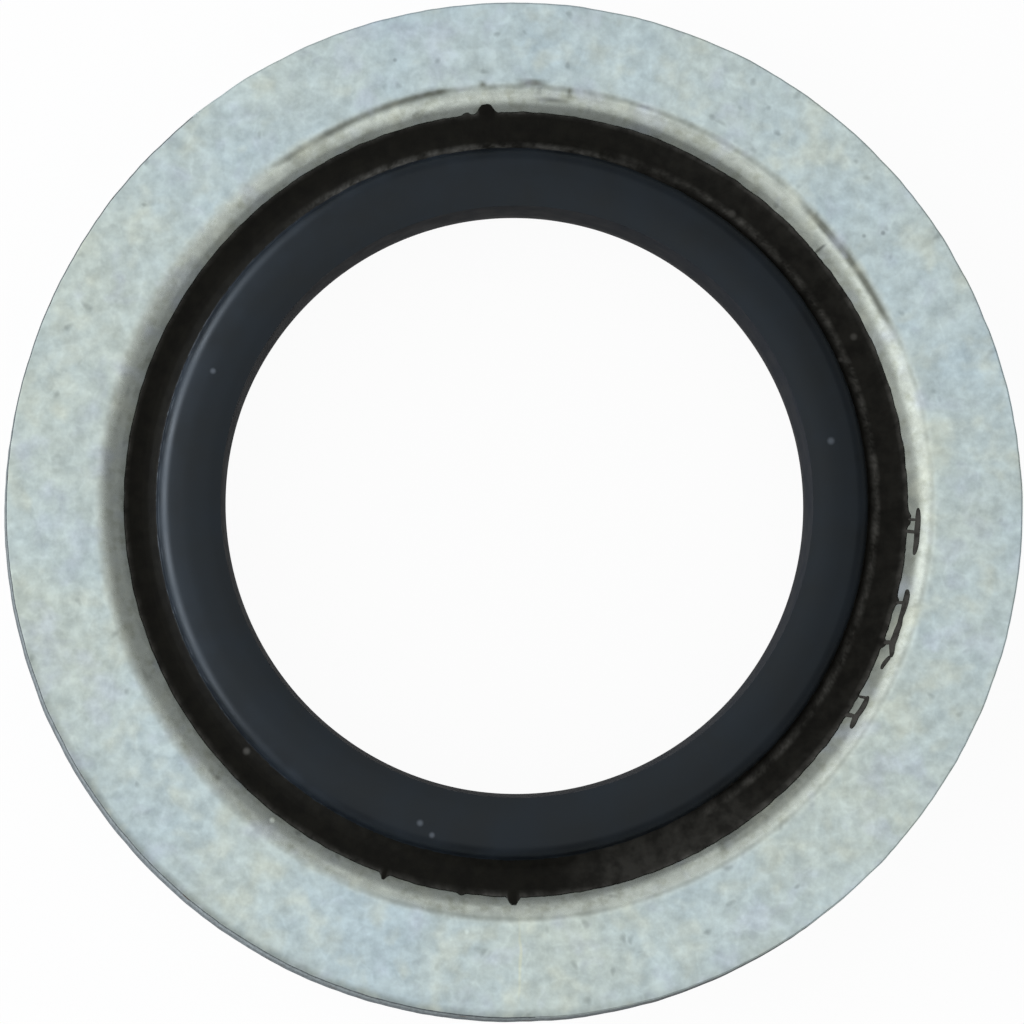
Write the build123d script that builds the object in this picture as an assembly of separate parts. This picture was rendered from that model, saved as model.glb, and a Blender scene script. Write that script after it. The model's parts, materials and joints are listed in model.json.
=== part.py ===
from build123d import *

import os
from math import atan2, cos, degrees, radians, sin, tan

# Bonded sealing washer for a 5 mm screw: a flat stamped steel ring with a rubber ring moulded
# into its bore and bonded there. The rubber stands proud of both faces as a domed sealing lip.
# Lengths are millimetres. Z is the axis of the bore, and the origin is on it, halfway up.

# Rubber seal, from the bore outwards. Its two faces are alike.
seal_bore_diameter = 5.7  # clear opening for the screw
bore_land = 0.4  # straight middle stretch of the bore
bore_draft = 7.0  # degrees that the bore opens above and below its land
lip_width = 0.63  # from the bore to the lip's outer corner, before that corner is rounded
lip_height = 0.2  # how far the lip stands proud of the steel face
crown_width = 0.28  # from the bore to the highest circle of the lip's dome
crown_fall_in = 4.0  # degrees that the lip falls from there to its sharp edge at the bore
crown_fall_out = 7.0  # degrees that it falls to its outer corner
crown_roll = 1.4  # radius that blends the two falls into a dome
shoulder_roll = 0.13  # radius that rounds the lip's outer corner
flank_angle = 86.0  # degrees from level, of the lip's outer flank
valley_edge = 0.02  # radius at the foot of the flank
skin_thickness = 0.13  # rubber over the corner of the steel's bore
skin_width = 0.258  # how far the skin runs up the steel's mouth
skin_edge = 0.02  # thickness of the skin where it ends

# Steel ring
ring_diameter = 10.0
ring_thickness = 1.0
bond_gap = 0.103  # from the foot of the lip's flank to the steel's bore
mouth_width = 0.415  # bevel on each edge of the steel's bore, before its outer corner is rolled
mouth_angle = 28.0  # degrees from level, of that bevel
mouth_roll = 0.5  # radius that blends the bevel into the flat face
rim_roll = 0.02  # radius on the rim's upper edge, drawn in as the blank was stamped out
rim_break = 0.03  # bevel on its lower edge, where the stamping burr was tumbled off
rim_runout = 0.072  # how far the stamped rim sits off the bore's axis
runout_bearing = 256.0  # degrees round the axis from +X, of the side that it sits off towards
sheet_margin = 0.5  # sheet left outside the rim, until the blank is stamped out of it

# Where a side is too short for the roundings at its two ends, they share it.
crown_share = 0.65  # of the dome's shorter side
shoulder_share = 0.35  # of the dome's outer side
flank_share = 0.7  # of the flank, for the same rounding
valley_share = 0.28  # of the flank


def corner_radius(wanted, turn, room):
    # A rounded corner takes up no more of its side than the room it has there.
    return min(wanted, room / tan(radians(turn / 2)))


face_height = ring_thickness / 2
lip_top = face_height + lip_height
draft_run = (lip_top - bore_land / 2) * tan(radians(bore_draft))

# The dome falls both ways from its highest circle. Its two sides meet in a corner a little
# above the lip's top, and the rounding brings the rubber down to that top.
inner_side = crown_width - draft_run
outer_side = lip_width - crown_width
crown_turn = crown_fall_in + crown_fall_out
crown_lean = (crown_fall_out - crown_fall_in) / 2
dome_radius = corner_radius(crown_roll, crown_turn, crown_share * min(inner_side, outer_side))
corner_above_top = dome_radius * (cos(radians(crown_lean)) / cos(radians(crown_turn / 2)) - 1)
crown_height = lip_top + corner_above_top
lip_edge_height = crown_height - inner_side * tan(radians(crown_fall_in))
shoulder_height = crown_height - outer_side * tan(radians(crown_fall_out))

# The mouth's depth sets the valley's floor, and the flank runs down to that floor.
mouth_depth = mouth_width * tan(radians(mouth_angle))
valley_height = face_height - mouth_depth + skin_thickness
flank_run = (shoulder_height - valley_height) / tan(radians(flank_angle))
flank_length = (shoulder_height - valley_height) / sin(radians(flank_angle))

seal_bore_radius = seal_bore_diameter / 2
lip_edge_radius = seal_bore_radius + draft_run
crown_radius = seal_bore_radius + crown_width
lip_outer_radius = seal_bore_radius + lip_width
valley_foot_radius = lip_outer_radius + flank_run
ring_bore_radius = valley_foot_radius + bond_gap
mouth_radius = ring_bore_radius + mouth_width
skin_radius = ring_bore_radius + skin_width
ring_radius = ring_diameter / 2


def below(outline):
    # The same outline on the washer's other face.
    return [(radius, -height) for radius, height in outline]


def mouth_height(radius):
    # The bevel's height above the middle plane, or the flat face's beyond the bevel.
    bevel_rise = (radius - ring_bore_radius) * tan(radians(mouth_angle))
    return min(face_height, face_height - mouth_depth + bevel_rise)


def turned(outline, radii, start=None):
    # One face's outline, mirrored to the other face, closed and turned about the bore's axis.
    # Where it starts with a sharp corner, start is the point before that corner.
    first = start or outline[0]
    with BuildPart() as solid:
        with BuildSketch(Plane.XZ):
            with BuildLine():
                FilletPolyline(outline, radius=radii)
                FilletPolyline(below(outline), radius=radii)
                if start:
                    Line(start, outline[0])
                    Line(below([start])[0], below(outline)[0])
                Line(first, below([first])[0])
                Line(outline[-1], below(outline)[-1])
            make_face()
        revolve(axis=Axis.Z)
    return solid.part


def make_steel_ring():
    # The mouths are coined in the sheet about the bore, and the stamped blank trims it.
    mouth = [
        (ring_bore_radius, face_height - mouth_depth),
        (mouth_radius, face_height),
        (ring_radius + sheet_margin, face_height),
    ]
    sheet = turned(mouth, [mouth_roll])

    with BuildPart() as blank:
        bearing = radians(runout_bearing)
        with Locations((rim_runout * cos(bearing), rim_runout * sin(bearing), 0)):
            Cylinder(ring_radius, ring_thickness)
        rim_edges = blank.edges().filter_by(GeomType.CIRCLE).sort_by(Axis.Z)
        chamfer(rim_edges[0], rim_break)
        fillet(rim_edges[-1], rim_roll)

    return sheet & blank.part


def make_rubber_seal(steel_ring):
    skin_end = (skin_radius, mouth_height(skin_radius) + skin_edge)
    lip_and_skin = [
        (lip_edge_radius, lip_edge_height),
        (crown_radius, crown_height),
        (lip_outer_radius, shoulder_height),
        (valley_foot_radius, valley_height),
        skin_end,
    ]

    shoulder_turn = flank_angle - crown_fall_out
    shoulder_room = min(shoulder_share * outer_side, flank_share * flank_length)
    skin_rise = skin_end[1] - valley_height
    skin_angle = degrees(atan2(skin_rise, skin_radius - valley_foot_radius))
    radii = [
        dome_radius,
        corner_radius(shoulder_roll, shoulder_turn, shoulder_room),
        corner_radius(valley_edge, flank_angle + skin_angle, valley_share * flank_length),
    ]

    # The moulding fills the steel's bore and mouths, so their surface is its own.
    return turned(lip_and_skin, radii, start=(seal_bore_radius, bore_land / 2)) - steel_ring


steel_ring = make_steel_ring()
rubber_seal = make_rubber_seal(steel_ring)

os.makedirs("parts", exist_ok=True)
export_step(steel_ring, "parts/steel_ring.step")
export_step(rubber_seal, "parts/rubber_seal.step")

print(f"steel bore {2 * ring_bore_radius:.2f}, skin {2 * skin_radius:.2f}, height {2 * lip_top:.2f}")
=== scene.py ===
import bpy
import bmesh
import json
from math import atan2, cos, degrees, hypot, pi, radians, sin, sqrt, tan
from mathutils import Matrix, Vector, noise


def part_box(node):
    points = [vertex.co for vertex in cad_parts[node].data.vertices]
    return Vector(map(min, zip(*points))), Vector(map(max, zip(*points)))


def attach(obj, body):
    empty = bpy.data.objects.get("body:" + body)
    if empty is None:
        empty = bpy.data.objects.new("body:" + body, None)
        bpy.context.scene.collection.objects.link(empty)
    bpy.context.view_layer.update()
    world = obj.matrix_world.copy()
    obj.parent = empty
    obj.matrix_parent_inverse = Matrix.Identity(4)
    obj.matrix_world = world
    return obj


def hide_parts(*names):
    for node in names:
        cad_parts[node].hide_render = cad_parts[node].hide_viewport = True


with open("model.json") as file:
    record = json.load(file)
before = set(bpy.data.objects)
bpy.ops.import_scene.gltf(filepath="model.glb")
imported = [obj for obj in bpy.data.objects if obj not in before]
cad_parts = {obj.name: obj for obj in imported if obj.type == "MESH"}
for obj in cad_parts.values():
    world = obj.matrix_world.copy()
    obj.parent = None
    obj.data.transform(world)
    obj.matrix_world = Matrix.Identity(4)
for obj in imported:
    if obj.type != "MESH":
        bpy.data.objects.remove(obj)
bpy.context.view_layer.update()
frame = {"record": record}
print("Frame loaded")

# Pieces are modelled with 1 unit for 1 mm, because Blender's tools merge points that lie
# closer than a tenth of a millimetre, and are shrunk to metres when they are finished.
mmPerMetre = 1000


def nodeBoxInMm(node):
    low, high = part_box(node)
    return low * mmPerMetre, high * mmPerMetre


ringLow, ringHigh = nodeBoxInMm("steel_ring")
sealHigh = nodeBoxInMm("rubber_seal")[1]

# The section of the washer, in mm and degrees. What the frame knows is read from it.
section = {
    "rimRadius": (ringHigh.y - ringLow.y) / 2,
    "rimRunout": (-0.0175, -0.07),  # where the rim's centre lies off the bore's axis
    "faceHeight": ringHigh.z,
    "lipTop": sealHigh.z,
    "boreRadius": frame["record"]["mounts"][0]["dims"]["r_mm"],
    "boreLand": 0.4,  # straight stretch in the middle of the bore
    "boreDraft": 7.0,  # how far the bore opens above and below its land
    "crownRadius": 3.13,  # the lip's highest circle
    "crownFallIn": 4.0,  # from there to the bore
    "crownFallOut": 7.0,  # from there to the shoulder
    "crownRoll": 1.4,
    "shoulderRadius": 3.48,  # the lip's outer corner, before it is rounded
    "shoulderRoll": 0.13,
    "flankAngle": 86.0,
    "valleyEdge": 0.006,
    "lipDrift": (-0.035, -0.012),  # where the lip's centre lies off the bore's axis
    "skinThickness": 0.13,  # rubber over the corner of the steel's bore
    "skinRadius": 3.858,  # where the skin ends on the steel's mouth
    "skinEdge": 0.012,
    "beadHeight": 0.016,  # low bead in the skin, beside the lip's foot
    "steelBoreRadius": 3.6,
    "mouthRadius": 4.0154,  # where the mouth's bevel would meet the flat face
    "mouthAngle": 28.0,
    "mouthRoll": 0.5,
    "rimRoll": 0.015,
    "rimBreak": 0.03,
}

rimRadius = section["rimRadius"]
rimShift = Vector((*section["rimRunout"], 0))
faceHeight = section["faceHeight"]
boreRadius = section["boreRadius"]
crownRadius = section["crownRadius"]
shoulderRadius = section["shoulderRadius"]
lipShift = Vector((*section["lipDrift"], 0))
skinRadius = section["skinRadius"]
steelBoreRadius = section["steelBoreRadius"]
mouthRadius = section["mouthRadius"]
mouthSlope = tan(radians(section["mouthAngle"]))

# The crown's corner stands above the lip's top by what its rounding takes off.
halfLean = radians((section["crownFallOut"] - section["crownFallIn"]) / 2)
halfTurn = radians((section["crownFallOut"] + section["crownFallIn"]) / 2)
crownHeight = section["lipTop"] + section["crownRoll"] * (cos(halfLean) / cos(halfTurn) - 1)
crownSlope = tan(radians(section["crownFallOut"]))
shoulderHeight = crownHeight - (shoulderRadius - crownRadius) * crownSlope
mouthDepth = (mouthRadius - steelBoreRadius) * mouthSlope
valleyHeight = faceHeight - mouthDepth + section["skinThickness"]
flankRun = (shoulderHeight - valleyHeight) / tan(radians(section["flankAngle"]))
valleyRadius = shoulderRadius + flankRun
rollReach = section["mouthRoll"] * tan(radians(section["mouthAngle"] / 2))
rollRadius = mouthRadius + rollReach  # where the mouth's roll meets the flat face


def steelHeight(radius):
    # the top of the steel at a radius: bevel, roll, then the flat face
    roll = section["mouthRoll"]
    bevelTop = rollRadius - roll * sin(radians(section["mouthAngle"]))
    if radius >= rollRadius:
        return faceHeight
    if radius >= bevelTop:
        return faceHeight - roll + sqrt(roll ** 2 - (rollRadius - radius) ** 2)
    return faceHeight - (mouthRadius - radius) * mouthSlope


def roundAxis(place):
    # how far a place is from the bore's axis, its azimuth, and the level direction out to it
    radius = hypot(place.x, place.y)
    azimuth = degrees(atan2(place.y, place.x)) % 360
    return radius, azimuth, Vector((place.x, place.y, 0)) / radius


def ramp(value, low, high):
    # 0 below low, 1 above high, eased between them
    share = min(1.0, max(0.0, (value - low) / (high - low)))
    return share * share * (3 - 2 * share)


def hump(value, middle, reach):
    # 1 at the middle, falling to 0 at the reach on both sides
    return 1 - ramp(abs(value - middle), 0, reach)


def within(value, band):
    # 1 inside a band and 0 outside it, eased at both ends: (start, full, fading, end)
    start, full, fading, end = band
    return ramp(value, start, full) * (1 - ramp(value, fading, end))


def waves(place, layers):
    # noise in layers: how fine each is, and how strong
    return sum(strength * noise.noise(place * fineness) for fineness, strength in layers)


# Modelling

weldDistance = 0.00001
cornerReach = 0.001  # a point this near to a corner of the section is that corner
smoothAngle = 35


def tracePath(name, places):
    # pulls one point from place to place, and leaves the line in edit mode
    bpy.ops.object.select_all(action="DESELECT")
    bpy.ops.mesh.primitive_plane_add(size=0.1)
    piece = bpy.context.object
    piece.name = piece.data.name = name
    bpy.ops.object.mode_set(mode="EDIT")
    bpy.ops.mesh.select_all(action="SELECT")
    bpy.ops.mesh.merge(type="CENTER")
    bpy.ops.transform.translate(value=places[0])
    for start, end in zip(places, places[1:]):
        pull = [there - here for here, there in zip(start, end)]
        bpy.ops.mesh.extrude_region_move(TRANSFORM_OT_translate={"value": pull})
    return piece


def pickCorner(piece, radius, height):
    bpy.ops.mesh.select_mode(type="VERT")
    bpy.ops.mesh.select_all(action="DESELECT")
    mesh = bmesh.from_edit_mesh(piece.data)
    for point in mesh.verts:
        point.select = hypot(point.co.x - radius, point.co.z - height) < cornerReach
    mesh.select_flush(True)
    bmesh.update_edit_mesh(piece.data)


def traceSection(name, corners):
    # draws a closed section and rounds its corners: (radius, height, reach of the rounding,
    # its segments)
    piece = tracePath(name, [(radius, 0, height) for radius, height, reach, segments in corners])
    bpy.ops.mesh.select_all(action="SELECT")
    bpy.ops.mesh.edge_face_add()
    for radius, height, reach, segments in corners:
        if reach:
            pickCorner(piece, radius, height)
            bpy.ops.mesh.bevel(offset=reach, segments=segments, affect="VERTICES")
    return piece


def turnSection(piece, steps):
    # turns the outline once round the bore's axis and points its faces outwards
    bpy.ops.mesh.select_all(action="SELECT")
    bpy.ops.mesh.delete(type="ONLY_FACE")
    bpy.ops.object.mode_set(mode="OBJECT")
    turn = piece.modifiers.new("turn", "SCREW")
    turn.axis = "Z"
    turn.angle = 2 * pi
    turn.steps = turn.render_steps = steps
    turn.use_merge_vertices = True
    turn.merge_threshold = weldDistance
    bpy.ops.object.modifier_apply(modifier="turn")
    bpy.ops.object.mode_set(mode="EDIT")
    bpy.ops.mesh.select_all(action="SELECT")
    bpy.ops.mesh.remove_doubles(threshold=weldDistance)
    bpy.ops.mesh.normals_make_consistent(inside=False)
    bpy.ops.object.mode_set(mode="OBJECT")


def paintPoints(piece, name, amountAt):
    # gives each point an amount of film or dust, with painted shade or painted light among
    #     # them, which a material reads by its name
    layer = piece.data.attributes.new(name, "FLOAT", "POINT")
    for point, cell in zip(piece.data.vertices, layer.data):
        cell.value = amountAt(point.co)


def finishPiece(piece, node):
    bpy.ops.object.select_all(action="DESELECT")
    piece.select_set(True)
    bpy.context.view_layer.objects.active = piece
    piece.scale = (1 / mmPerMetre,) * 3
    bpy.ops.object.transform_apply(location=True, rotation=True, scale=True)
    bpy.ops.object.shade_smooth_by_angle(angle=radians(smoothAngle))
    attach(piece, "root")
    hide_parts(node)


# Steel ring. From here on, an arc is (start, full, fading, end) in degrees round the axis
# from +X, and a band is the same in mm out from it.

steelRing = {
    "name": "zincPlatedRing",
    "turnSteps": 1080,
    "rollSegments": 18,
    "rimSegments": 6,
    "rollSupports": (0.02, 0.05),  # circles of points on the flat face, out from the roll
    "rimSupports": (0.15, 0.09),  # and in from the rim
    "rimRollSupport": 0.01,
    "rimZone": 0.16,  # how far in from the rim the steel moves with it
    "rimWander": 0.006,  # how far the stamped rim strays from a circle
    "rimWaves": ((14, 1), (41, 0.6)),
    "rollWander": 0.012,  # how far the mouth's roll strays in and out
    "rollWaves": 7,
}

# The shut-off line that the mould pressed round the mouth is sharp in two arcs, faint between
# them, and soft at the lower right.
witness = {
    "radius": 4.094,
    "halfWidth": 0.022,
    "depth": 0.002,
    "rightArc": (22, 28, 43, 49),
    "rightShift": -0.03,
    "upperLeftArc": (97, 101, 123, 128),
    "upperLeftShift": (0.022, -0.038),  # at the two ends of its arc
    "faint": (0.45, 0.65),
    "faintRise": (48, 60),
    "faintEnd": (93, 98),
    "lowerRight": 0.6,
    "lowerRightStart": (242, 256),
    "lowerRightShift": -0.01,
}

# Smears that the mould's flash left on the mouth: azimuth, radius, half length in degrees,
# half width in mm, strength
smears = [
    (94.6, 4.14, 1.0, 0.05, 0.8),
    (97.5, 4.1, 1.6, 0.03, 0.35),
    (87.8, 4.145, 2.8, 0.055, 1.1),
    (85.0, 3.985, 3.4, 0.05, 0.85),
    (82.6, 4.07, 0.6, 0.1, 0.5),
    (86.8, 4.06, 0.5, 0.08, 0.35),
    (40.0, 3.92, 0.35, 0.07, 1.1),
    (72.0, 4.1, 1.5, 0.03, 0.45),
    (191.0, 4.0, 1.2, 0.03, 0.3),
    (205.0, 4.02, 1.8, 0.03, 0.35),
    (168.0, 3.99, 1.6, 0.03, 0.3),
    (222.0, 4.0, 1.4, 0.03, 0.3),
]

# Thin film of rubber, mould grime and wear, which darkens the zinc, with painted shade
# # among it: on the left of the mouth and on the rim at the lower left
film = {
    "patches": ((19, 0.5),),
    "beside": 0.05,  # how far it crept out from the bond
    "tail": 0.35,  # a fainter one farther out, everywhere but in its arc
    "tailEnd": (0.03, 0.16),
    "noTailArc": (60, 100, 290, 330),
    "stripTail": 0.6,  # round the torn strips
    "stripTailEnd": (3.95, 4.02),
    "noStripTailArc": (0, 10, 300, 301),
    "hazes": ((0.28, (15, 40, 100, 112)), (0.15, (170, 190, 262, 290))),
    "hazeBand": (4.0, 4.05, 4.12, 4.15),
    # painted shade with some grime, on the left of the mouth, which faces away from the left
    # softbox
    "grime": 0.1,
    "grimeArc": (130, 175, 205, 250),
    "grimeStart": (3.93, 3.98),
    "grimeEnd": (4.06, 4.14),
    "grimeWaves": ((31, 0.02), (80, 0.015)),
    # painted shade on the rim's roll at the lower left
    "rimWear": (0.57, 0.22),  # before and after it eases
    "rimWearEases": (255, 285),
    "rimWearArc": (188, 215, 290, 312),
    "rimWearEnd": (0.02, 0.1),  # in from the rim
}


def witnessAt(azimuth):
    # how hard the mould bit, from 0 to 1, the radius it bit at, and how broad and dark the
    # line is, from 0 to 1
    right = within(azimuth, witness["rightArc"])
    upperLeft = within(azimuth, witness["upperLeftArc"])
    low, high = witness["faint"]
    faint = low + (high - low) * ramp(azimuth, *witness["faintRise"])
    faint *= 1 - ramp(azimuth, *witness["faintEnd"])
    lowerRight = witness["lowerRight"] * ramp(azimuth, *witness["lowerRightStart"])
    start, end = witness["upperLeftShift"]
    alongArc = ramp(azimuth, witness["upperLeftArc"][0], witness["upperLeftArc"][-1])
    middle = witness["radius"] + witness["rightShift"] * right
    middle += upperLeft * (start + (end - start) * alongArc)
    middle += witness["lowerRightShift"] * lowerRight
    return max(right, upperLeft, faint, lowerRight), middle, max(right, upperLeft)


def filmAndShadeAt(place):
    radius, azimuth, outwards = roundAxis(place)
    patch = 0.5 + waves(outwards, film["patches"])
    beside = 1 - ramp(radius, skinRadius, skinRadius + film["beside"] * (0.7 + 0.8 * patch))
    tail = film["tail"] * (1 - within(azimuth, film["noTailArc"]))
    tail *= 1 - ramp(radius - skinRadius, *film["tailEnd"])
    stripTail = film["stripTail"] * (1 - within(azimuth, film["noStripTailArc"]))
    stripTail *= 1 - ramp(radius, *film["stripTailEnd"])
    haze = sum(strength * within(azimuth, arc) for strength, arc in film["hazes"])
    haze *= within(radius, film["hazeBand"])
    # painted shade, with some grime, on the left of the mouth
    grime = film["grime"] * within(azimuth, film["grimeArc"]) * ramp(radius, *film["grimeStart"])
    grime *= 1 - ramp(radius + waves(outwards, film["grimeWaves"]), *film["grimeEnd"])
    # painted shade: the rim's roll is darkened at the lower left
    before, after = film["rimWear"]
    rimWear = before + (after - before) * ramp(azimuth, *film["rimWearEases"])
    rimWear *= within(azimuth, film["rimWearArc"])
    rimWear *= 1 - ramp(rimRadius - radius + rimShift.dot(outwards), *film["rimWearEnd"])
    bite, middle, broad = witnessAt(azimuth)
    line = bite * hump(radius, middle, witness["halfWidth"] * (2 + 1.2 * broad))
    line *= 0.3 + 0.35 * broad + 0.4 * patch
    smear = 0
    if place.z > 0:
        for at, distance, halfLength, halfWidth, strength in smears:
            along = hump(azimuth, at, halfLength)
            smear = max(smear, strength * along * hump(radius, distance, halfWidth))
    return min(1.0, max(beside, tail, stripTail, haze, grime, rimWear) + line + smear)


def makeSteelRing():
    besideRoll = steelRing["rimRollSupport"] + section["rimRoll"]
    flatRadii = [rollRadius + step for step in steelRing["rollSupports"]]
    flatRadii += [rimRadius - step for step in (*steelRing["rimSupports"], besideRoll)]
    corners = [
        (steelBoreRadius, faceHeight - mouthDepth, 0, 0),
        (mouthRadius, faceHeight, rollReach, steelRing["rollSegments"]),
        *[(radius, faceHeight, 0, 0) for radius in flatRadii],
        (rimRadius, faceHeight, section["rimRoll"], steelRing["rimSegments"]),
        (rimRadius, faceHeight - besideRoll, 0, 0),
        (rimRadius, -faceHeight, section["rimBreak"], 1),
        (mouthRadius, -faceHeight, rollReach, steelRing["rollSegments"]),
        (steelBoreRadius, mouthDepth - faceHeight, 0, 0),
    ]
    ring = traceSection(steelRing["name"], corners)
    turnSection(ring, steelRing["turnSteps"])
    for point in ring.data.vertices:
        radius, azimuth, outwards = roundAxis(point.co)
        if radius > rimRadius - steelRing["rimZone"]:
            wander = waves(outwards, steelRing["rimWaves"])
            point.co += outwards * steelRing["rimWander"] * wander + rimShift
        elif radius > skinRadius:
            share = hump(radius, (skinRadius + rollRadius) / 2, (rollRadius - skinRadius) / 2)
            level = Vector((0, 0, point.co.z))
            wander = noise.noise(outwards * steelRing["rollWaves"] + level)
            point.co += outwards * steelRing["rollWander"] * share * wander
            if point.co.z > 0:
                bite, middle = witnessAt(azimuth)[:2]
                dent = hump(radius, middle, witness["halfWidth"] * 2)
                point.co.z -= bite * witness["depth"] * dent
    paintPoints(ring, "film", filmAndShadeAt)
    return ring


# Rubber seal

rubberSeal = {
    "name": "mouldedSeal",
    "turnSteps": 1080,
    "topSegments": {"crown": 10, "shoulder": 12, "valley": 3, "bead": 3},
    "bottomSegments": {"crown": 4, "shoulder": 6, "valley": 1, "bead": 1},
    "crownSupport": 0.19,  # circle of points between the crown and the shoulder
    "beadCorners": ((0.022, 1.0), (0.08, 0.9), (0.14, 0.0)),  # out from the valley, and rise
    "beadRounding": 0.015,
    "skinSupport": 0.25,  # circles of points on the skin, out from the valley
    "edgeSupports": (0.06, 0.03),  # and in from its edge
    "edgeWander": 0.009,  # how far the skin's edge strays over the steel
    "edgeWaves": (26, 90),
    "skinDrift": (-0.010, -0.0115),  # the skin is narrower at the sides, wider at the bottom
    "leftArc": (95, 150, 215, 275),
    "leftSag": 0.046,  # how much rounder the lip's shoulder is there
    "sagStart": 0.05,  # out from the crown
    "sagReach": 0.3,
    "filletArc": (52, 84, 276, 308),
    "footFill": 0.12,  # rubber that fills the corner at the foot of the lip there
    "filletWidth": 0.16,
    "filledBead": (0.0, 0.02, 0.08, 0.14),  # stretch of the bead that the filling levels
    "footLumps": 0.006,
    "lumpWaves": ((9, 1), (24, 0.7)),
    "driftBand": (crownRadius - 0.1, crownRadius + 0.1, 3.6, 3.8),  # what moves with the lip
}

# Nubs of flash on the skin's edge: azimuth, half width in degrees, length in mm
nubs = [
    (94.4, 1.7, 0.085),
    (97.3, 0.7, 0.02),
    (269.6, 1.1, 0.08),
    (250.5, 0.7, 0.06),
    (262.0, 0.6, 0.02),
    (357.7, 1.4, 0.03),
    (345.6, 0.8, 0.02),
    (339.2, 0.9, 0.03),
]
nubTip = 0.3  # share of a nub's width that has its full length

# Pale dust on the skin, and painted light: on the right the bead, a veil and the edge are
# # made lighter. A level is a base, and what lumps and streaks add to it.
skinDustAndPaintedLight = {
    "lumps": ((5, 1), (17, 0.6)),
    "streaks": ((60, 1),),
    "notRightArc": (50, 85, 275, 315),
    "ridge": (0.08, 0.065),  # on the bead: its middle and reach, out from the lip's foot
    "ridgeLevel": (0.5, 0.6, 0.4),
    "foot": (0.03, 0.06),  # in the corner at the lip's foot
    "footArc": (58, 78, 118, 134),
    "footLevel": (0.35, 0.5, 0.4),
    "rightVeil": 0.07,
    "lowVeil": 0.24,
    "lowVeilArc": (274, 286, 303, 312),
    "edgeReach": (0.045, 0.08),  # in from the skin's edge, elsewhere and on the right
    "edgeLevel": (0.45, 0.35, 0.2),
    "edgeRight": 0.25,
    "cleanNub": 0.05,  # a nub this long carries none
}


def nubAt(azimuth):
    return max(
        length * (1 - ramp(abs(azimuth - middle), nubTip * halfWidth, halfWidth))
        for middle, halfWidth, length in nubs
    )


def skinEdgeMove(azimuth, outwards):
    # how far the skin's edge lies out from its circle
    left = within(azimuth, rubberSeal["leftArc"])
    coarse, fine = rubberSeal["edgeWaves"]
    wander = waves(outwards, ((coarse, 1), (fine, 0.5 - 0.3 * left))) * (1 - 0.4 * left)
    sideways, downwards = rubberSeal["skinDrift"]
    drift = sideways * abs(outwards.x) + downwards * outwards.y
    return rubberSeal["edgeWander"] * wander + drift + nubAt(azimuth)


def topRise(radius, azimuth):
    # how far the top face lies above the turned section: the shoulder sags on the left, and
    # rubber fills the corner at its foot everywhere but on the right
    left = within(azimuth, rubberSeal["leftArc"])
    toShoulder = (radius - crownRadius - rubberSeal["sagStart"]) / rubberSeal["sagReach"]
    sag = left * rubberSeal["leftSag"] * max(0.0, min(1.0, toShoulder)) ** 2
    sag *= 1 - ramp(radius, shoulderRadius, valleyRadius)
    fromValley = radius - valleyRadius
    fillet = 0
    if fromValley > -2 * cornerReach:
        fillet = max(0.0, 1 - fromValley / rubberSeal["filletWidth"]) ** 2
    fill = rubberSeal["footFill"] * (1 - 0.4 * left) * fillet
    fill -= section["beadHeight"] * within(fromValley, rubberSeal["filledBead"])
    return fill * within(azimuth, rubberSeal["filletArc"]) - sag


def dustAndPaintedLightAt(place):
    radius, azimuth = roundAxis(place)[:2]
    fromLip = roundAxis(place - lipShift)[0] - valleyRadius
    lumps = waves(place, skinDustAndPaintedLight["lumps"])
    streaks = waves(place, skinDustAndPaintedLight["streaks"])
    # share of painted light: 1 on the right of the skin
    right = 1 - within(azimuth, skinDustAndPaintedLight["notRightArc"])

    def level(base, byLumps, byStreaks):
        return base + byLumps * lumps + byStreaks * streaks

    # painted highlight: the bead is lighter only on the right
    ridge = hump(fromLip, *skinDustAndPaintedLight["ridge"]) * right * level(*skinDustAndPaintedLight["ridgeLevel"])
    foot = hump(fromLip, *skinDustAndPaintedLight["foot"]) * within(azimuth, skinDustAndPaintedLight["footArc"])
    foot *= level(*skinDustAndPaintedLight["footLevel"])
    # painted light: a veil over the skin on the right; the lower-right veil is dust
    veil = skinDustAndPaintedLight["rightVeil"] * right
    veil += skinDustAndPaintedLight["lowVeil"] * within(azimuth, skinDustAndPaintedLight["lowVeilArc"])
    # the edge is wider and lighter on the right: painted light there, dust elsewhere
    narrow, wide = skinDustAndPaintedLight["edgeReach"]
    edge = ramp(radius, skinRadius - narrow - (wide - narrow) * right, skinRadius)
    edge *= level(*skinDustAndPaintedLight["edgeLevel"]) + skinDustAndPaintedLight["edgeRight"] * right
    edge *= 1 - min(1.0, nubAt(azimuth) / skinDustAndPaintedLight["cleanNub"])
    return min(1.0, max(veil, foot, ridge, edge))


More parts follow.
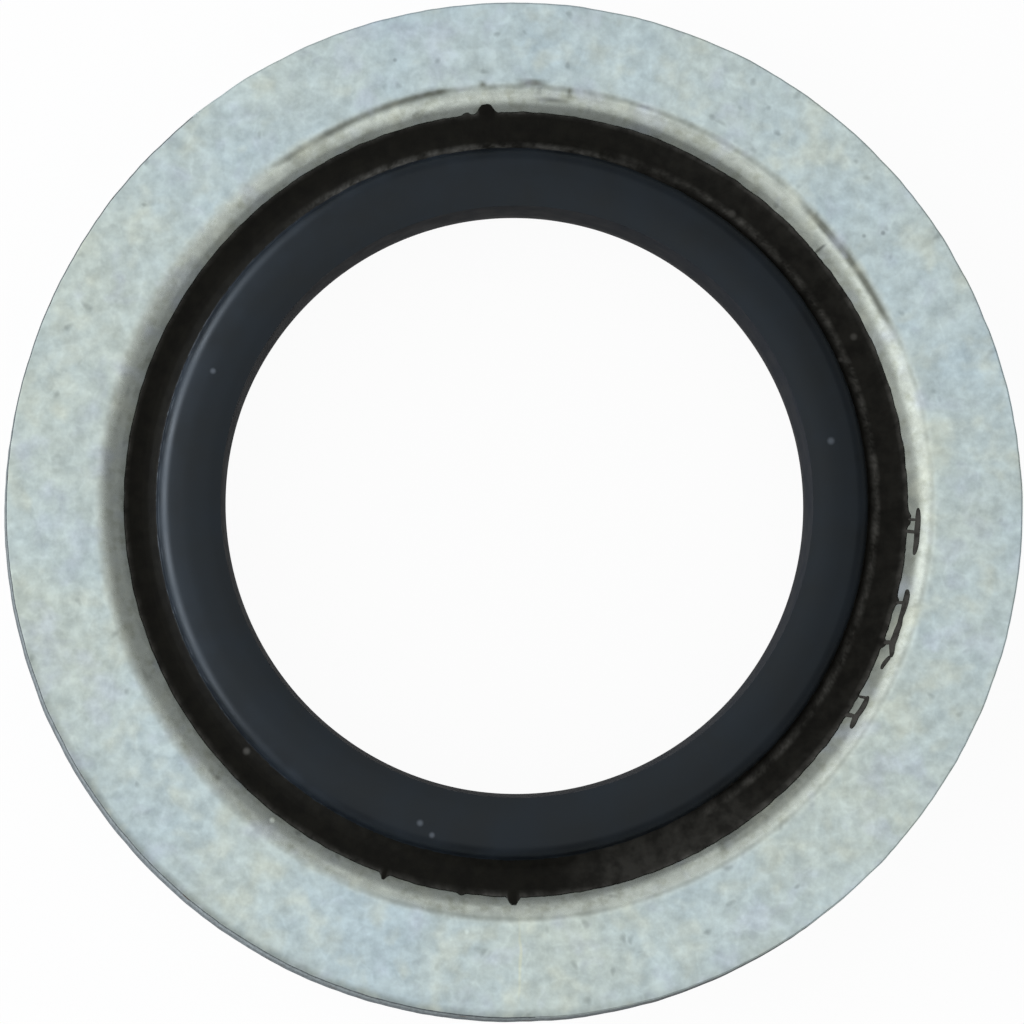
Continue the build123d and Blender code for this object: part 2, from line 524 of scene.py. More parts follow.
def makeRubberSeal():
    draftRun = (section["lipTop"] - section["boreLand"] / 2) * tan(radians(section["boreDraft"]))
    lipInnerRadius = boreRadius + draftRun
    lipFall = (crownRadius - lipInnerRadius) * tan(radians(section["crownFallIn"]))
    skinTop = steelHeight(skinRadius) + section["skinEdge"]
    skinSlope = (skinTop - valleyHeight) / (skinRadius - valleyRadius)
    shoulderTurn = radians(section["flankAngle"] - section["crownFallOut"])
    shoulderReach = section["shoulderRoll"] * tan(shoulderTurn / 2)
    crownReach = section["crownRoll"] * tan(halfTurn)
    valleyReach = section["valleyEdge"] * tan(radians(section["flankAngle"] / 2))
    support = rubberSeal["crownSupport"]

    def skinCorner(radius, rise=0, segments=0):
        # a corner on the skin between the valley and its edge, raised by part of the bead
        height = valleyHeight + skinSlope * (radius - valleyRadius) + rise * section["beadHeight"]
        return (radius, height, rubberSeal["beadRounding"] if segments else 0, segments)

    def halfSection(segments):
        # from the middle of the bore over the lip and the skin to the steel's bore
        return [
            (boreRadius, section["boreLand"] / 2, 0, 0),
            (lipInnerRadius, crownHeight - lipFall, 0, 0),
            (crownRadius, crownHeight, crownReach, segments["crown"]),
            (crownRadius + support, crownHeight - support * crownSlope, 0, 0),
            (shoulderRadius, shoulderHeight, shoulderReach, segments["shoulder"]),
            (valleyRadius, valleyHeight, valleyReach, segments["valley"]),
            *[
                skinCorner(valleyRadius + step, rise, segments["bead"])
                for step, rise in rubberSeal["beadCorners"]
            ],
            skinCorner(valleyRadius + rubberSeal["skinSupport"]),
            *[skinCorner(skinRadius - step) for step in rubberSeal["edgeSupports"]],
            (skinRadius, skinTop, 0, 0),
            (skinRadius, steelHeight(skinRadius), 0, 0),
            (steelBoreRadius, faceHeight - mouthDepth, 0, 0),
        ]

    top = halfSection(rubberSeal["topSegments"])
    bottom = [
        (radius, -height, reach, segments)
        for radius, height, reach, segments in halfSection(rubberSeal["bottomSegments"])
    ]
    seal = traceSection(rubberSeal["name"], top + bottom[::-1])
    turnSection(seal, rubberSeal["turnSteps"])
    for point in seal.data.vertices:
        radius, azimuth, outwards = roundAxis(point.co)
        if radius > skinRadius - cornerReach:
            side = 1 if point.co.z > 0 else -1
            moved = radius + skinEdgeMove(azimuth, outwards)
            point.co += outwards * (moved - radius)
            point.co.z += side * (steelHeight(moved) - steelHeight(radius))
        elif radius > shoulderRadius and abs(point.co.z) > valleyHeight - cornerReach:
            lumps = waves(point.co, rubberSeal["lumpWaves"])
            point.co += outwards * rubberSeal["footLumps"] * lumps
        if point.co.z > 0:
            point.co.z += topRise(radius, azimuth)
        point.co += lipShift * within(radius, rubberSeal["driftBand"])
    paintPoints(seal, "dust", dustAndPaintedLightAt)
    return seal


# Torn strips of flash that lie on the mouth where the mould's halves met, and the bridges
# that still hold them: (azimuth, radius, half width) along each
flashStrips = [
    [
        (359.5, 3.955, 0.012), (358.5, 3.956, 0.027), (357.2, 3.957, 0.029), (356.1, 3.953, 0.03),
        (355.4, 3.954, 0.028), (354.7, 3.956, 0.028), (353.9, 3.954, 0.026), (353.2, 3.95, 0.022),
        (352.6, 3.944, 0.01),
    ],
    [(357.8, 3.84, 0.02), (357.7, 3.887, 0.012), (357.7, 3.945, 0.018)],
    [(356.0, 3.82, 0.022), (356.0, 3.874, 0.017), (355.9, 3.95, 0.022)],
    [
        (347.7, 3.939, 0.018), (346.9, 3.95, 0.03), (346.1, 3.951, 0.032), (345.2, 3.951, 0.031),
        (344.2, 3.951, 0.025), (343.4, 3.944, 0.022), (342.5, 3.958, 0.027), (341.6, 3.947, 0.03),
        (340.7, 3.953, 0.032), (340.0, 3.947, 0.034), (339.2, 3.951, 0.032), (338.3, 3.979, 0.025),
        (337.6, 3.982, 0.012),
    ],
    [(337.9, 3.976, 0.015), (337.0, 3.955, 0.02), (336.3, 3.943, 0.02), (335.5, 3.941, 0.012)],
    [(345.3, 3.83, 0.02), (345.5, 3.889, 0.014), (345.7, 3.94, 0.02)],
    [(339.0, 3.82, 0.026), (339.4, 3.885, 0.022), (339.8, 3.95, 0.025)],
    [
        (331.4, 3.947, 0.014), (330.5, 3.952, 0.025), (329.8, 3.955, 0.027), (329.0, 3.955, 0.026),
        (328.3, 3.949, 0.025), (327.8, 3.943, 0.03), (327.2, 3.953, 0.03), (326.5, 3.961, 0.025),
        (326.0, 3.963, 0.012),
    ],
    [(330.6, 3.864, 0.012), (330.8, 3.905, 0.014), (331.0, 3.952, 0.015)],
    [(327.1, 3.81, 0.026), (327.5, 3.867, 0.022), (327.9, 3.935, 0.025)],
]

flash = {
    "thickness": 0.02,
    "sunk": 0.004,  # how deep the strips are pressed onto the steel
    "dust": 1.1,
    "dustWaves": ((20, 0.4),),
}


def makeFlash(number, path):
    # a ribbon along the path: one side is traced point by point, pulled over to the other
    # side, thickened and rounded
    middle = [
        Vector((radius * cos(radians(azimuth)), radius * sin(radians(azimuth)), 0))
        for azimuth, radius, halfWidth in path
    ]
    inner, outer = [], []
    for step, place in enumerate(middle):
        along = middle[min(step + 1, len(middle) - 1)] - middle[max(step - 1, 0)]
        across = Vector((-along.y, along.x, 0)).normalized() * path[step][2]
        inner.append(place - across)
        outer.append(place + across)
    strip = tracePath(f"flash{number}", inner)
    bpy.ops.mesh.select_all(action="SELECT")
    bpy.ops.mesh.extrude_region_move(TRANSFORM_OT_translate={"value": (0, 0, 1)})
    bpy.ops.object.mode_set(mode="OBJECT")
    for point in strip.data.vertices:
        if point.co.z > 0.5:
            flat = Vector((point.co.x, point.co.y, 0))
            nearest = min(range(len(inner)), key=lambda step: (inner[step] - flat).length)
            point.co = outer[nearest]
        point.co.z = steelHeight(roundAxis(point.co)[0]) - flash["sunk"]
    thicken = strip.modifiers.new("thicken", "SOLIDIFY")
    thicken.thickness = flash["thickness"]
    thicken.offset = 1.0
    soften = strip.modifiers.new("soften", "SUBSURF")
    soften.levels = soften.render_levels = 2
    bpy.ops.object.modifier_apply(modifier="thicken")
    bpy.ops.object.modifier_apply(modifier="soften")
    bpy.ops.object.mode_set(mode="EDIT")
    bpy.ops.mesh.select_all(action="SELECT")
    bpy.ops.mesh.normals_make_consistent(inside=False)
    bpy.ops.object.mode_set(mode="OBJECT")
    paintPoints(strip, "dust", lambda place: flash["dust"] * (1 + waves(place, flash["dustWaves"])))
    return strip


# Materials, with the sizes of their patterns in mm


def hexColour(code):
    # an sRGB hex value as the linear colour that the shaders take
    parts = [int(code[start:start + 2], 16) / 255 for start in (1, 3, 5)]
    linear = [
        part / 12.92 if part <= 0.04045 else ((part + 0.055) / 1.055) ** 2.4 for part in parts
    ]
    return (*linear, 1)


def addNode(material, kind, settings, links=()):
    # adds a node, sets its fields and sockets, and links (socket, source) pairs into it, where
    # a node stands for its first output. A colour mix has its share at socket 0, its two
    # colours at 6 and 7, and its result at 2.
    node = material.node_tree.nodes.new(kind)
    for name, value in settings.items():
        if isinstance(name, str) and hasattr(node, name):
            setattr(node, name, value)
        else:
            node.inputs[name].default_value = value
    for socket, source in links:
        output = getattr(source, "outputs", [source])[0]
        material.node_tree.links.new(output, node.inputs[socket])
    return node


def mapping(inputRange, outputRange=(0, 1)):
    # settings that map one range to another
    return {
        "From Min": inputRange[0], "From Max": inputRange[1],
        "To Min": outputRange[0], "To Max": outputRange[1],
    }


def spreadRound(middle, spread):
    return middle - spread, middle + spread


def newMaterial(name):
    material = bpy.data.materials.new(name)
    material.use_nodes = True
    material.node_tree.nodes.clear()
    return material


def finishMaterial(material, settings, links):
    shader = addNode(material, "ShaderNodeBsdfPrincipled", settings, links)
    addNode(material, "ShaderNodeOutputMaterial", {}, [("Surface", shader)])
    return material


def placeInMm(material):
    # the place on the piece, and the same without its height
    coordinates = addNode(material, "ShaderNodeTexCoord", {})
    place = addNode(
        material, "ShaderNodeVectorMath", {"operation": "SCALE", 3: mmPerMetre},
        [(0, coordinates.outputs["Object"])],
    )
    flat = addNode(
        material, "ShaderNodeVectorMath", {"operation": "MULTIPLY", 1: (1, 1, 0)}, [(0, place)]
    )
    return place, flat


spotCore = 0.2  # share of a spot's reach that has its full strength


def spotShare(material, flat, spot, strength):
    # a soft round spot, (x, y, reach): its strength in the middle, 0 at its reach
    x, y, reach = spot
    away = addNode(
        material, "ShaderNodeVectorMath", {"operation": "DISTANCE", 1: (x, y, 0)}, [(0, flat)]
    )
    return addNode(
        material, "ShaderNodeMapRange",
        {"interpolation_type": "SMOOTHSTEP", **mapping((reach * spotCore, reach), (strength, 0))},
        [("Value", away.outputs["Value"])],
    )


# Bright zinc electroplate on stamped and tumbled steel: a satin, bluish grey metal with
# blotches and pale veins of zinc crystals, clouds of a greener grey, and a few pits. In the
# coined mouth it is smoother and warmer, with dark rubber film beside the bond.
zincPlate = {
    "name": "brightZincElectroplate",
    "blueGrey": "#ABBBC0",
    "greenGrey": "#B4BEB7",
    "cloudSize": 2.2,
    "cloudRange": (0.36, 0.64),
    "mouth": "#B8BFB7",
    "mouthFade": 0.04,  # out from the mouth's roll
    "olive": "#8E9280",
    "mottleSize": 0.11,
    "mottleRange": (0.5, 0.72),
    "mottleStrength": 0.45,
    # colour of the film, and of the painted shade that the film layer carries
    "film": "#60645D",
    "cream": "#BFC3B2",
    "blue": "#AFB8C6",
    "patchSize": 0.35,
    "creamRange": (0.55, 0.72),
    "blueRange": (0.45, 0.28),
    "patchStrength": 0.37,
    "blotchSize": 0.15,
    "blotchRange": (0.3, 0.7),
    "blotchContrast": 0.105,
    "blotchHeight": 0.001,
    "bendSize": 0.25,  # the veins and the scratch are bent by a noise, so that none is straight
    "bendReach": 0.25,
    "crystalSize": 0.24,
    "veinWidth": 0.13,
    "veinBrightness": 0.055,
    "pitSpacing": 0.3,
    "pitRange": (0.05, 0.16),
    "pitDepth": 0.25,
    "roughness": 0.4,
    "roughnessSpread": 0.05,
    "mouthRoughness": 0.25,
    # pits and bright spots: (x, y, reach) and brightness
    "marks": [
        ((3.608, 2.664, 0.035), 0.62), ((3.421, 2.634, 0.03), 0.7), ((-1.194, 4.358, 0.03), 0.66),
        ((-0.485, -4.222, 0.035), 1.22), ((-2.397, -3.123, 0.04), 2.2),
    ],
    # a yellowish scratch that runs outwards at the bottom: its x, and its two ends in y
    "scratch": (0.035, -4.89, -4.05),
    "scratchRange": (0.006, 0.022),
    "scratchSquash": 0.04,
    "scratchWave": 0.06,
    "scratchStrength": 0.35,
    "scratchColour": "#CBCBA8",
}


def zincColour(material, place, flat, bend, mouthShare):
    plate = zincPlate
    clouds = addNode(
        material, "ShaderNodeTexNoise",
        {"Scale": 1 / plate["cloudSize"], "Detail": 5, "Roughness": 0.6}, [("Vector", place)],
    )
    cloudShare = addNode(
        material, "ShaderNodeMapRange", mapping(plate["cloudRange"]),
        [("Value", clouds.outputs["Fac"])],
    )
    tint = addNode(
        material, "ShaderNodeMix",
        {"data_type": "RGBA", 6: hexColour(plate["blueGrey"]), 7: hexColour(plate["greenGrey"])},
        [(0, cloudShare)],
    )
    colour = addNode(
        material, "ShaderNodeMix", {"data_type": "RGBA", 7: hexColour(plate["mouth"])},
        [(0, mouthShare), (6, tint.outputs[2])],
    )
    mottle = addNode(
        material, "ShaderNodeTexNoise", {"Scale": 1 / plate["mottleSize"], "Detail": 2},
        [("Vector", place)],
    )
    mottleShare = addNode(
        material, "ShaderNodeMapRange",
        mapping(plate["mottleRange"], (0, plate["mottleStrength"])),
        [("Value", mottle.outputs["Fac"])],
    )
    mottleInMouth = addNode(
        material, "ShaderNodeMath", {"operation": "MULTIPLY"}, [(0, mottleShare), (1, mouthShare)]
    )
    # the film layer, with painted shade on the left of the mouth and at the lower-left rim
    film = addNode(material, "ShaderNodeAttribute", {"attribute_name": "film"})
    patches = addNode(
        material, "ShaderNodeTexNoise",
        {"Scale": 1 / plate["patchSize"], "Detail": 2, "Roughness": 0.5}, [("Vector", place)],
    )
    layers = [("olive", mottleInMouth), ("film", film.outputs["Fac"])]
    for patch, edges in (("cream", "creamRange"), ("blue", "blueRange")):
        share = addNode(
            material, "ShaderNodeMapRange", mapping(plate[edges], (0, plate["patchStrength"])),
            [("Value", patches.outputs["Fac"])],
        )
        layers.append((patch, share))

    # the scratch is a round spot squeezed into a line: its length counts for little
    across, start, end = plate["scratch"]
    wave = plate["scratchWave"]
    wavy = addNode(
        material, "ShaderNodeVectorMath", {"operation": "MULTIPLY_ADD", 1: (wave, wave, 0)},
        [(0, bend.outputs["Color"]), (2, flat)],
    )
    fromMiddle = addNode(
        material, "ShaderNodeVectorMath",
        {"operation": "SUBTRACT", 1: (across + wave / 2, (start + end) / 2, 0)},
        [(0, wavy)],
    )
    squeezed = addNode(
        material, "ShaderNodeVectorMath",
        {"operation": "MULTIPLY", 1: (1, plate["scratchSquash"] / (end - start), 0)},
        [(0, fromMiddle)],
    )
    away = addNode(material, "ShaderNodeVectorMath", {"operation": "LENGTH"}, [(0, squeezed)])
    share = addNode(
        material, "ShaderNodeMapRange",
        mapping(plate["scratchRange"], (plate["scratchStrength"], 0)),
        [("Value", away.outputs["Value"])],
    )
    layers.append(("scratchColour", share))
    for layer, share in layers:
        colour = addNode(
            material, "ShaderNodeMix", {"data_type": "RGBA", 7: hexColour(plate[layer])},
            [(0, share), (6, colour.outputs[2])],
        )
    return colour


def zincShade(material, place, flat, bend, blotches):
    # how light the zinc is: blotches of crystals, pale veins between them, pits and marks
    plate = zincPlate
    blotchShade = addNode(
        material, "ShaderNodeMapRange",
        mapping(plate["blotchRange"], spreadRound(1, plate["blotchContrast"])),
        [("Value", blotches.outputs["Fac"])],
    )
    bent = addNode(
        material, "ShaderNodeVectorMath",
        {"operation": "MULTIPLY_ADD", 1: (plate["bendReach"],) * 3},
        [(0, bend.outputs["Color"]), (2, place)],
    )
    crystals = addNode(
        material, "ShaderNodeTexVoronoi",
        {"feature": "DISTANCE_TO_EDGE", "Scale": 1 / plate["crystalSize"]},
        [("Vector", bent)],
    )
    veinShade = addNode(
        material, "ShaderNodeMapRange",
        mapping((0, plate["veinWidth"]), (1 + plate["veinBrightness"], 1)),
        [("Value", crystals.outputs["Distance"])],
    )
    pits = addNode(
        material, "ShaderNodeTexVoronoi", {"Scale": 1 / plate["pitSpacing"]}, [("Vector", bent)]
    )
    pitShade = addNode(
        material, "ShaderNodeMapRange", mapping(plate["pitRange"], (1 - plate["pitDepth"], 1)),
        [("Value", pits.outputs["Distance"])],
    )
    shade = blotchShade
    for other in (veinShade, pitShade):
        shade = addNode(
            material, "ShaderNodeMath", {"operation": "MULTIPLY"}, [(0, shade), (1, other)]
        )
    for spot, brightness in plate["marks"]:
        shade = addNode(
            material, "ShaderNodeMath", {"operation": "MULTIPLY_ADD"},
            [(0, shade), (1, spotShare(material, flat, spot, brightness - 1)), (2, shade)],
        )
    return shade


def makeZincPlate():
    plate = zincPlate
    material = newMaterial(plate["name"])
    place, flat = placeInMm(material)
    radius = addNode(material, "ShaderNodeVectorMath", {"operation": "LENGTH"}, [(0, flat)])
    mouthShare = addNode(
        material, "ShaderNodeMapRange",
        {
            "interpolation_type": "SMOOTHSTEP",
            **mapping((rollRadius + plate["mouthFade"], mouthRadius)),
        },
        [("Value", radius.outputs["Value"])],
    )
    bend = addNode(
        material, "ShaderNodeTexNoise", {"Scale": 1 / plate["bendSize"], "Detail": 1},
        [("Vector", place)],
    )
    blotches = addNode(
        material, "ShaderNodeTexNoise",
        {"Scale": 1 / plate["blotchSize"], "Detail": 3, "Roughness": 0.68}, [("Vector", place)],
    )
    tint = zincColour(material, place, flat, bend, mouthShare)
    shade = zincShade(material, place, flat, bend, blotches)
    colour = addNode(
        material, "ShaderNodeVectorMath", {"operation": "SCALE"},
        [(0, tint.outputs[2]), (3, shade)],
    )
    gloss = addNode(
        material, "ShaderNodeMapRange",
        mapping(plate["blotchRange"], spreadRound(plate["roughness"], -plate["roughnessSpread"])),
        [("Value", blotches.outputs["Fac"])],
    )
    roughness = addNode(
        material, "ShaderNodeMath",
        {"operation": "MULTIPLY_ADD", 1: plate["mouthRoughness"] - plate["roughness"]},
        [(0, mouthShare), (2, gloss)],
    )
    bump = addNode(
        material, "ShaderNodeBump",
        {"Strength": 1.0, "Distance": plate["blotchHeight"] / mmPerMetre},
        [("Height", blotches.outputs["Fac"])],
    )
    return finishMaterial(
        material, {"Metallic": 1.0},
        [("Base Color", colour), ("Roughness", roughness), ("Normal", bump)],
    )


# The punched edge: the punch burnished its upper part and tore the rest, so it is duller than
# the faces, scored up and down, and flecked with brown where the zinc is thin.
shearedEdge = {
    "name": "shearedSteelEdge",
    "bright": "#808686",
    "torn": "#6E7374",
    "raggedness": 0.4,  # how far the two parts' border wanders
    "raggedScale": 3,
    "borderRange": (0.22, 0.36),
    "fleck": "#665A50",
    "fleckSize": 0.2,
    "fleckRange": (0.62, 0.74),
    "scoreSpacing": 0.035,
    "scoreStretch": 0.08,
    "scoreRange": (0.3, 0.7),
    "scoreContrast": 0.2,
    "scoreDepth": 0.004,
    "roughness": 1.0,
    "edgeTint": "#868A8A",
    "width": 0.1,  # in from the rim
    "upright": 0.3,  # a face whose normal rises less than this belongs to the edge
    # painted shade: on the left the roll above the edge takes this darker, duller material too
    "dullArc": (130, 272),  # where the roll above it is dull too
    "dullUpright": 0.96,
}


def makeShearedEdge():
    edge = shearedEdge
    material = newMaterial(edge["name"])
    place = placeInMm(material)[0]
    drawn = addNode(
        material, "ShaderNodeVectorMath",
        {"operation": "MULTIPLY", 1: (1, 1, edge["scoreStretch"])}, [(0, place)],
    )
    scores = addNode(
        material, "ShaderNodeTexNoise", {"Scale": 1 / edge["scoreSpacing"], "Detail": 3},
        [("Vector", drawn)],
    )
    height = addNode(material, "ShaderNodeSeparateXYZ", {}, [(0, place)])
    ragged = addNode(
        material, "ShaderNodeTexNoise", {"Scale": edge["raggedScale"], "Detail": 3},
        [("Vector", place)],
    )
    raggedHeight = addNode(
        material, "ShaderNodeMath", {"operation": "MULTIPLY_ADD", 1: edge["raggedness"]},
        [(0, ragged.outputs["Fac"]), (2, height.outputs["Z"])],
    )
    burnished = addNode(
        material, "ShaderNodeMapRange", mapping(edge["borderRange"]), [("Value", raggedHeight)]
    )
    base = addNode(
        material, "ShaderNodeMix",
        {"data_type": "RGBA", 6: hexColour(edge["torn"]), 7: hexColour(edge["bright"])},
        [(0, burnished)],
    )
    flecks = addNode(
        material, "ShaderNodeTexNoise", {"Scale": 1 / edge["fleckSize"], "Detail": 4},
        [("Vector", place)],
    )
    fleckShare = addNode(
        material, "ShaderNodeMapRange", mapping(edge["fleckRange"]),
        [("Value", flecks.outputs["Fac"])],
    )
    flecked = addNode(
        material, "ShaderNodeMix", {"data_type": "RGBA", 7: hexColour(edge["fleck"])},
        [(0, fleckShare), (6, base.outputs[2])],
    )
    scoreShade = addNode(
        material, "ShaderNodeMapRange",
        mapping(edge["scoreRange"], spreadRound(1, edge["scoreContrast"])),
        [("Value", scores.outputs["Fac"])],
    )
    colour = addNode(
        material, "ShaderNodeVectorMath", {"operation": "SCALE"},
        [(0, flecked.outputs[2]), (3, scoreShade)],
    )
    bump = addNode(
        material, "ShaderNodeBump",
        {"Strength": 0.6, "Distance": edge["scoreDepth"] / mmPerMetre},
        [("Height", scores.outputs["Fac"])],
    )
    return finishMaterial(
        material,
        {
            "Metallic": 1.0, "Roughness": edge["roughness"],
            "Specular Tint": hexColour(edge["edgeTint"]),
        },
        [("Base Color", colour), ("Normal", bump)],
    )


# Moulded black nitrile rubber. The lip took the polish of the mould: a bluish sheen, faintly
# clouded by the bloom of the compound, with a few specks of dust.
lipRubber = {
    "name": "mouldedNitrileLip",
    "colour": "#04080D",
    "bloom": "#0E151C",
    "bloomSize": 0.5,
    "bloomDetail": 4,
    "dust": "#555B62",
    "specks": [
        (3.085, 0.602, 0.05), (-2.986, 1.278, 0.04), (-0.952, -3.16, 0.045), (-0.835, -3.278, 0.04),
    ],
    "roughness": (0.45, 0.55),
    "specular": 0.315,
    "sheen": "#EFFAFF",
}

# The bore's wall was left dull by the core pin.
boreRubber = {
    "name": "nitrileBoreWall",
    "colour": "#070B10",
    "bloom": "#0A0F15",
    "bloomSize": 0.2,
    "bloomDetail": 4,
    "specks": [],
    "roughness": (0.75, 0.85),
    "specular": 0.08,
    "sheen": "#FFFFFF",
    "width": 0.1,  # out from the bore
    "upright": 0.35,  # a face whose normal rises less than this belongs to the wall
}

# The same rubber squeezed thin over the bond: matt, browner than the lip, a little lumpy, and
# # dusty in its corners. Its dust layer also holds painted light, lighter on the right side.
skinRubber = {
    "name": "bondedNitrileSkin",
    "colour": "#0D0C08",
    "bloom": "#14130E",
    "bloomSize": 0.12,
    "bloomDetail": 3,
    "dust": "#4D4C48",
    "dustRange": (0.45, 1.3),  # how unevenly the painted dust lies
    "specks": [
        (2.123, 2.854, 0.055), (3.322, 1.645, 0.05), (3.19, 1.42, 0.035), (-2.65, -2.446, 0.05),
    ],
    "lumpHeight": 0.006,
    "roughness": (0.7, 0.7),
    "specular": 0.1,
    "sheen": "#FFFFFF",
    "start": (-0.005, 0.007),  # out from the lip's foot, without and with rubber filling it
}

bloomRange = (0.35, 0.65)
speckStrength = 0.7


def makeRubber(rubber):
    material = newMaterial(rubber["name"])
    place, flat = placeInMm(material)
    clouds = addNode(
        material, "ShaderNodeTexNoise",
        {"Scale": 1 / rubber["bloomSize"], "Detail": rubber["bloomDetail"]}, [("Vector", place)],
    )
    share = addNode(
        material, "ShaderNodeMapRange", mapping(bloomRange), [("Value", clouds.outputs["Fac"])]
    )
    colour = addNode(
        material, "ShaderNodeMix",
        {"data_type": "RGBA", 6: hexColour(rubber["colour"]), 7: hexColour(rubber["bloom"])},
        [(0, share)],
    )
    dull = addNode(
        material, "ShaderNodeMapRange", mapping((0, 1), rubber["roughness"]), [("Value", share)]
    )
    layers = [spotShare(material, flat, speck, speckStrength) for speck in rubber["specks"]]
    bumps = []
    if rubber is skinRubber:
        # the dust layer, with painted light on the right of the skin
        dust = addNode(material, "ShaderNodeAttribute", {"attribute_name": "dust"})
        broken = addNode(
            material, "ShaderNodeMapRange", mapping((0, 1), rubber["dustRange"]),
            [("Value", share)],
        )
        dustAndPaintedLight = addNode(
            material, "ShaderNodeMath", {"operation": "MULTIPLY", "use_clamp": True},
            [(0, dust.outputs["Fac"]), (1, broken)],
        )
        layers.insert(0, dustAndPaintedLight)
        bump = addNode(
            material, "ShaderNodeBump",
            {"Strength": 0.7, "Distance": rubber["lumpHeight"] / mmPerMetre},
            [("Height", clouds.outputs["Fac"])],
        )
        bumps.append(("Normal", bump))
    for layer in layers:
        colour = addNode(
            material, "ShaderNodeMix", {"data_type": "RGBA", 7: hexColour(rubber["dust"])},
            [(0, layer), (6, colour.outputs[2])],
        )
    return finishMaterial(
        material,
        {"Specular IOR Level": rubber["specular"], "Specular Tint": hexColour(rubber["sheen"])},
        [("Base Color", colour.outputs[2]), ("Roughness", dull), *bumps],
    )


def dressSteelRing(ring):
    ring.data.materials.append(makeZincPlate())
    ring.data.materials.append(makeShearedEdge())
    dullStart, dullEnd = shearedEdge["dullArc"]
    for face in ring.data.polygons:
        radius, azimuth = roundAxis(face.center)[:2]
        # on the left the rim's roll takes the darker edge material: painted shade
        isDullShaded = dullStart < azimuth < dullEnd and face.center.z > 0
        upright = shearedEdge["dullUpright" if isDullShaded else "upright"]
        if abs(face.normal.z) < upright and radius > rimRadius - shearedEdge["width"]:
            face.material_index = 1


def dressRubberSeal(seal):
    for rubber in (lipRubber, skinRubber, boreRubber):
        seal.data.materials.append(makeRubber(rubber))
    bare, filled = skinRubber["start"]
    for face in seal.data.polygons:
        radius, azimuth = roundAxis(face.center)[:2]
        fromLip = roundAxis(face.center - lipShift)[0] - valleyRadius
        start = bare + (filled - bare) * within(azimuth, rubberSeal["filletArc"])
        if fromLip > start:
            face.material_index = 1
        elif radius < boreRadius + boreRubber["width"]:
            if abs(face.normal.z) < boreRubber["upright"]:
                face.material_index = 2


ring = makeSteelRing()
dressSteelRing(ring)
finishPiece(ring, "steel_ring")
print("Steel ring made")

seal = makeRubberSeal()
strips = [makeFlash(number, path) for number, path in enumerate(flashStrips)]
bpy.ops.object.select_all(action="DESELECT")
for piece in [*strips, seal]:
    piece.select_set(True)
bpy.context.view_layer.objects.active = seal
bpy.ops.object.join()
dressRubberSeal(seal)
finishPiece(seal, "rubber_seal")
print("Rubber seal made")


# Studio, in metres and degrees

studio = {
    "floorWidth": 4.0,
    "floorColour": "#F4F4F4",
    "floorGlow": 0.95,  # share of the floor's look that is plain white paper
    "worldColour": "#9D9EA0",
}

softboxes = {
    "topSoftbox": {
        "place": (-0.1, 0.0, 0.385), "width": 0.22, "depth": 0.34,
        "brightness": 0.62, "colour": "#FFFFFF",
    },
    "leftSoftbox": {
        "place": (-0.392, 0.04, 0.05), "width": 0.55, "depth": 0.11,
        "brightness": 20.0, "colour": "#F0F5FF",
    },
    "broadSoftbox": {
        "place": (-0.15, 0.02, 0.345), "width": 0.64, "depth": 0.7,
        "brightness": 0.515, "colour": "#FFFFFF",
    },
    "fillSoftbox": {
        "place": (0.13, -0.155, 0.35), "width": 0.22, "depth": 0.22,
        "brightness": 0.4, "colour": "#FFFFFF",
    },
}

camera = {
    "tilt": 3.8,  # off the bore's axis
    "azimuth": 240.0,  # where the camera stands, round the axis from +X
    "distance": 0.25,
    "frameWidth": 0.01008,
    "aim": (-0.0000266, -0.0000632),
    "sensorWidth": 36,  # mm
    "clip": (0.01, 10),
}


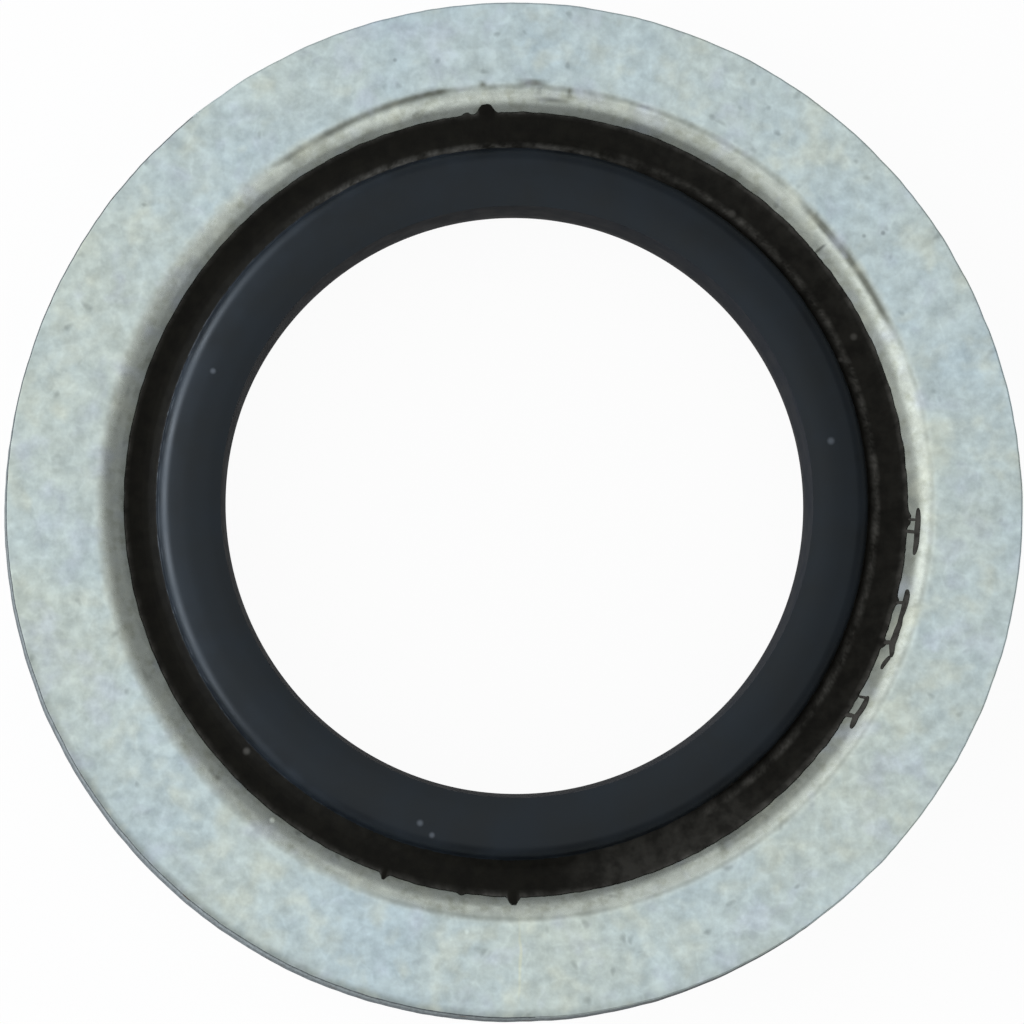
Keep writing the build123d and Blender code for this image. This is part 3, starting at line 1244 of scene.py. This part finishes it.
def makeFloor():
    bpy.ops.object.select_all(action="DESELECT")
    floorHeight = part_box("rubber_seal")[0].z
    bpy.ops.mesh.primitive_plane_add(size=studio["floorWidth"], location=(0, 0, floorHeight))
    floor = bpy.context.object
    floor.name = "studioFloor"
    bpy.ops.object.transform_apply(location=True)
    material = newMaterial("paleStudioPaper")
    path = addNode(material, "ShaderNodeLightPath", {})
    seen = path.outputs["Is Camera Ray"]
    for ray in ("Is Glossy Ray", "Is Transmission Ray"):
        seen = addNode(
            material, "ShaderNodeMath", {"operation": "MAXIMUM"},
            [(0, seen), (1, path.outputs[ray])],
        )
    share = addNode(
        material, "ShaderNodeMath", {"operation": "MULTIPLY", 1: studio["floorGlow"]}, [(0, seen)]
    )
    paper = addNode(
        material, "ShaderNodeBsdfDiffuse", {"Color": hexColour(studio["floorColour"])}
    )
    glow = addNode(material, "ShaderNodeEmission", {"Color": (1, 1, 1, 1), "Strength": 1.0})
    mixed = addNode(material, "ShaderNodeMixShader", {}, [(0, share), (1, paper), (2, glow)])
    addNode(material, "ShaderNodeOutputMaterial", {}, [("Surface", mixed)])
    floor.data.materials.append(material)


def makeWorld():
    world = bpy.data.worlds.new("studioWorld")
    world.use_nodes = True
    background = world.node_tree.nodes["Background"]
    background.inputs["Color"].default_value = hexColour(studio["worldColour"])
    bpy.context.scene.world = world


def addSoftbox(name, light):
    # its brightness is what it shows in a reflection, whatever its size
    lamp = bpy.data.lights.new(name, "AREA")
    lamp.shape = "RECTANGLE"
    lamp.size = light["width"]
    lamp.size_y = light["depth"]
    lamp.energy = light["brightness"] * pi * light["width"] * light["depth"]
    lamp.color = hexColour(light["colour"])[:3]
    holder = bpy.data.objects.new(name, lamp)
    bpy.context.scene.collection.objects.link(holder)
    holder.location = light["place"]
    holder.rotation_euler = (-Vector(light["place"])).to_track_quat("-Z", "Y").to_euler()


def makeCamera():
    data = bpy.data.cameras.new("studioCamera")
    data.sensor_width = camera["sensorWidth"]
    data.lens = data.sensor_width * camera["distance"] / camera["frameWidth"]
    data.clip_start, data.clip_end = camera["clip"]
    holder = bpy.data.objects.new("studioCamera", data)
    bpy.context.scene.collection.objects.link(holder)
    tilt = radians(camera["tilt"])
    azimuth = radians(camera["azimuth"])
    back = Vector((sin(tilt) * cos(azimuth), sin(tilt) * sin(azimuth), cos(tilt)))
    right = Vector((0, 1, 0)).cross(back).normalized()
    up = back.cross(right)
    turn = Matrix((right, up, back)).transposed().to_4x4()
    place = Vector((*camera["aim"], 0)) + back * camera["distance"]
    holder.matrix_world = Matrix.Translation(place) @ turn
    bpy.context.scene.camera = holder


makeFloor()
makeWorld()
for name, light in softboxes.items():
    addSoftbox(name, light)
makeCamera()
bpy.context.scene.view_settings.view_transform = "Standard"
print("Studio ready")
